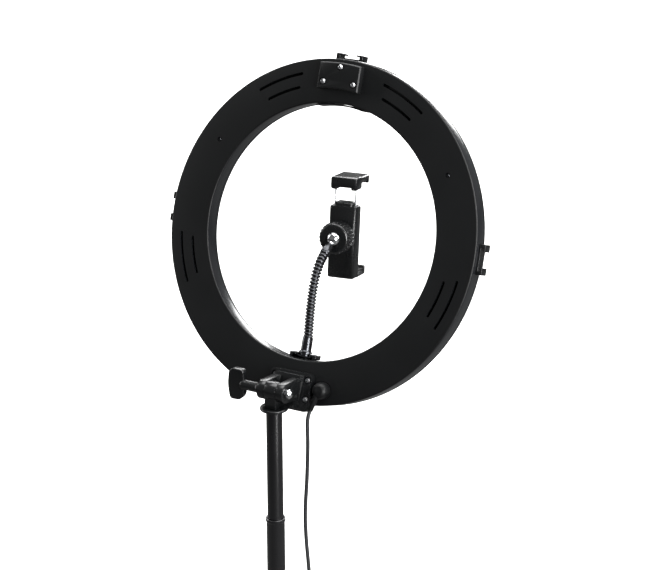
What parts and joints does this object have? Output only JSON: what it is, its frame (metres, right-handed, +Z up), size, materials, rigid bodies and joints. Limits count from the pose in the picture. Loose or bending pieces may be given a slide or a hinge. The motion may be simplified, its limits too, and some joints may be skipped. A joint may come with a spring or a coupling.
{
  "type": "ring light",
  "caption": "Round ring lamp on a telescopic tripod stand with a tilt head, a flexible arm with a phone clamp, and a supply cable with in-line control.",
  "frame": {"origin": "centre of the stand's footprint on the floor", "axes": "+Z up, +Y the way the lamp shines, +X to the right of someone standing behind it"},
  "size_m": [0.4282, 0.3716, 0.8774],
  "materials": {
    "satin_black_plastic": "satin moulded black",
    "black_plastic": "smooth moulded black",
    "diffuser": "milky, translucent",
    "board": "white solder mask",
    "chromed_steel": "polished",
    "black_lacquered_tube": "glossy black lacquer",
    "black_nickel": "dark glossy plating",
    "rubber": "matt",
    "cable_jacket": "smooth dark jacket",
    "bright_steel": "plated shell"
  },
  "bodies": {
    "stand": {"grip_tube": "black_lacquered_tube", "grip_cap": "black_plastic", "leg_hub": "black_plastic", "cord_lower": "cable_jacket", "cord_tail": "cable_jacket", "cord_coil": "cable_jacket", "cord_tie": "rubber", "remote_case": "satin_black_plastic", "plug_body": "black_plastic", "plug_shell": "bright_steel"},
    "front_leg": {"leg_front": "black_lacquered_tube", "foot_front": "rubber"},
    "left_leg": {"leg_left": "black_lacquered_tube", "foot_left": "rubber"},
    "right_leg": {"leg_right": "black_lacquered_tube", "foot_right": "rubber"},
    "lower_mast": {"tube_second": "black_lacquered_tube", "cord_upper": "cable_jacket"},
    "upper_mast": {"tube_upper": "black_lacquered_tube", "mast_collar": "black_plastic", "cord_pan": "cable_jacket"},
    "head": {"tilt_block": "black_plastic", "cord_tilt": "cable_jacket"},
    "light": {"rear_cover": "satin_black_plastic", "front_diffuser": "diffuser", "led_board": "board", "top_pad": "satin_black_plastic", "top_screw_1": "chromed_steel", "top_screw_2": "chromed_steel", "top_screw_3": "chromed_steel", "shoe_top": "satin_black_plastic", "shoe_left": "satin_black_plastic", "shoe_right": "satin_black_plastic", "shoe_bottom": "satin_black_plastic", "inner_pad": "satin_black_plastic", "cable_gland": "black_plastic", "tilt_bracket": "black_plastic", "bracket_screw_1": "chromed_steel", "bracket_screw_2": "chromed_steel", "bracket_screw_3": "chromed_steel", "bracket_screw_4": "chromed_steel", "tilt_bolt": "chromed_steel", "arm_ferrule": "black_nickel", "flex_lower": "black_nickel"},
    "knob": {"tilt_knob": "black_plastic"},
    "arm_middle": {"flex_middle": "black_nickel"},
    "arm_top": {"flex_upper": "black_nickel", "ferrule_upper": "black_nickel", "ball_stud": "chromed_steel"},
    "seat": {"ball_seat": "black_plastic"},
    "clamp": {"clamp_body": "satin_black_plastic", "lower_pad": "rubber"},
    "ring_nut": {"lock_ring": "black_plastic"},
    "jaw": {"upper_jaw": "satin_black_plastic", "upper_pad": "rubber", "rod_left": "chromed_steel", "rod_right": "chromed_steel"},
    "power": {"button_power": "black_plastic"},
    "brighter": {"button_brighter": "black_plastic"},
    "dimmer": {"button_dimmer": "black_plastic"}
  },
  "joints": [
    {"name": "mast_lower_slide", "type": "slide", "parent": "stand", "child": "lower_mast", "axis": [0, 0, 1], "range_m": [-0.125, 0.13], "deforming": ["cord_lower"]},
    {"name": "mast_upper_slide", "type": "slide", "parent": "lower_mast", "child": "upper_mast", "axis": [0, 0, 1], "range_m": [-0.095, 0.13], "deforming": ["cord_upper"]},
    {"name": "pan", "type": "hinge", "parent": "upper_mast", "child": "head", "pos_m": [0, -0.0581, 0.61236], "axis": [0, 0, 1], "range_deg": [-90, 90], "deforming": ["cord_pan"]},
    {"name": "tilt", "type": "hinge", "parent": "head", "child": "light", "pos_m": [0, -0.0581, 0.61236], "axis": [1, 0, 0], "range_deg": [-8, 70], "deforming": ["cord_tilt"]},
    {"name": "knob_turn", "type": "hinge", "parent": "light", "child": "knob", "pos_m": [0, -0.0581, 0.61236], "axis": [-1, 0, 0], "continuous": true},
    {"name": "arm_pitch", "type": "hinge", "parent": "light", "child": "arm_middle", "pos_m": [0, 0.00611, 0.67323], "axis": [1, 0, 0], "range_deg": [-30, 25]},
    {"name": "arm_sway", "type": "hinge", "parent": "arm_middle", "child": "arm_top", "pos_m": [0, 0.01507, 0.69606], "axis": [0, -0.8469, 0.5318], "range_deg": [-30, 30]},
    {"name": "ball_pitch", "type": "hinge", "parent": "arm_top", "child": "seat", "pos_m": [0, 0.04629, 0.71841], "axis": [0.9877, 0.1564, 0], "range_deg": [-2, 58]},
    {"name": "clamp_turn", "type": "hinge", "parent": "seat", "child": "clamp", "pos_m": [0, 0.04629, 0.71841], "axis": [-0.1551, 0.9795, -0.1288], "continuous": true},
    {"name": "lock_ring_turn", "type": "hinge", "parent": "clamp", "child": "ring_nut", "pos_m": [0, 0.04629, 0.71841], "axis": [-0.1551, 0.9795, -0.1288], "continuous": true},
    {"name": "jaw_slide", "type": "slide", "parent": "clamp", "child": "jaw", "axis": [-0.0201, 0.1272, 0.9917], "range_m": [-0.01, 0.017]},
    {"name": "leg_front_fold", "type": "hinge", "parent": "stand", "child": "front_leg", "pos_m": [0, -0.0351, 0.16623], "axis": [-1, 0, 0], "range_deg": [0, 52]},
    {"name": "leg_left_fold", "type": "hinge", "parent": "stand", "child": "left_leg", "pos_m": [-0.01992, -0.0696, 0.16623], "axis": [0.5, -0.866, 0], "range_deg": [0, 52]},
    {"name": "leg_right_fold", "type": "hinge", "parent": "stand", "child": "right_leg", "pos_m": [0.01992, -0.0696, 0.16623], "axis": [0.5, 0.866, 0], "range_deg": [0, 52]},
    {"name": "press_power", "type": "slide", "parent": "stand", "child": "power", "axis": [0, 0, -1], "range_m": [0, 0.001], "stiffness_N_per_m": 250, "springref_m": -0.002},
    {"name": "press_brighter", "type": "slide", "parent": "stand", "child": "brighter", "axis": [0, 0, -1], "range_m": [0, 0.001], "stiffness_N_per_m": 250, "springref_m": -0.002},
    {"name": "press_dimmer", "type": "slide", "parent": "stand", "child": "dimmer", "axis": [0, 0, -1], "range_m": [0, 0.001], "stiffness_N_per_m": 250, "springref_m": -0.002}
  ]
}
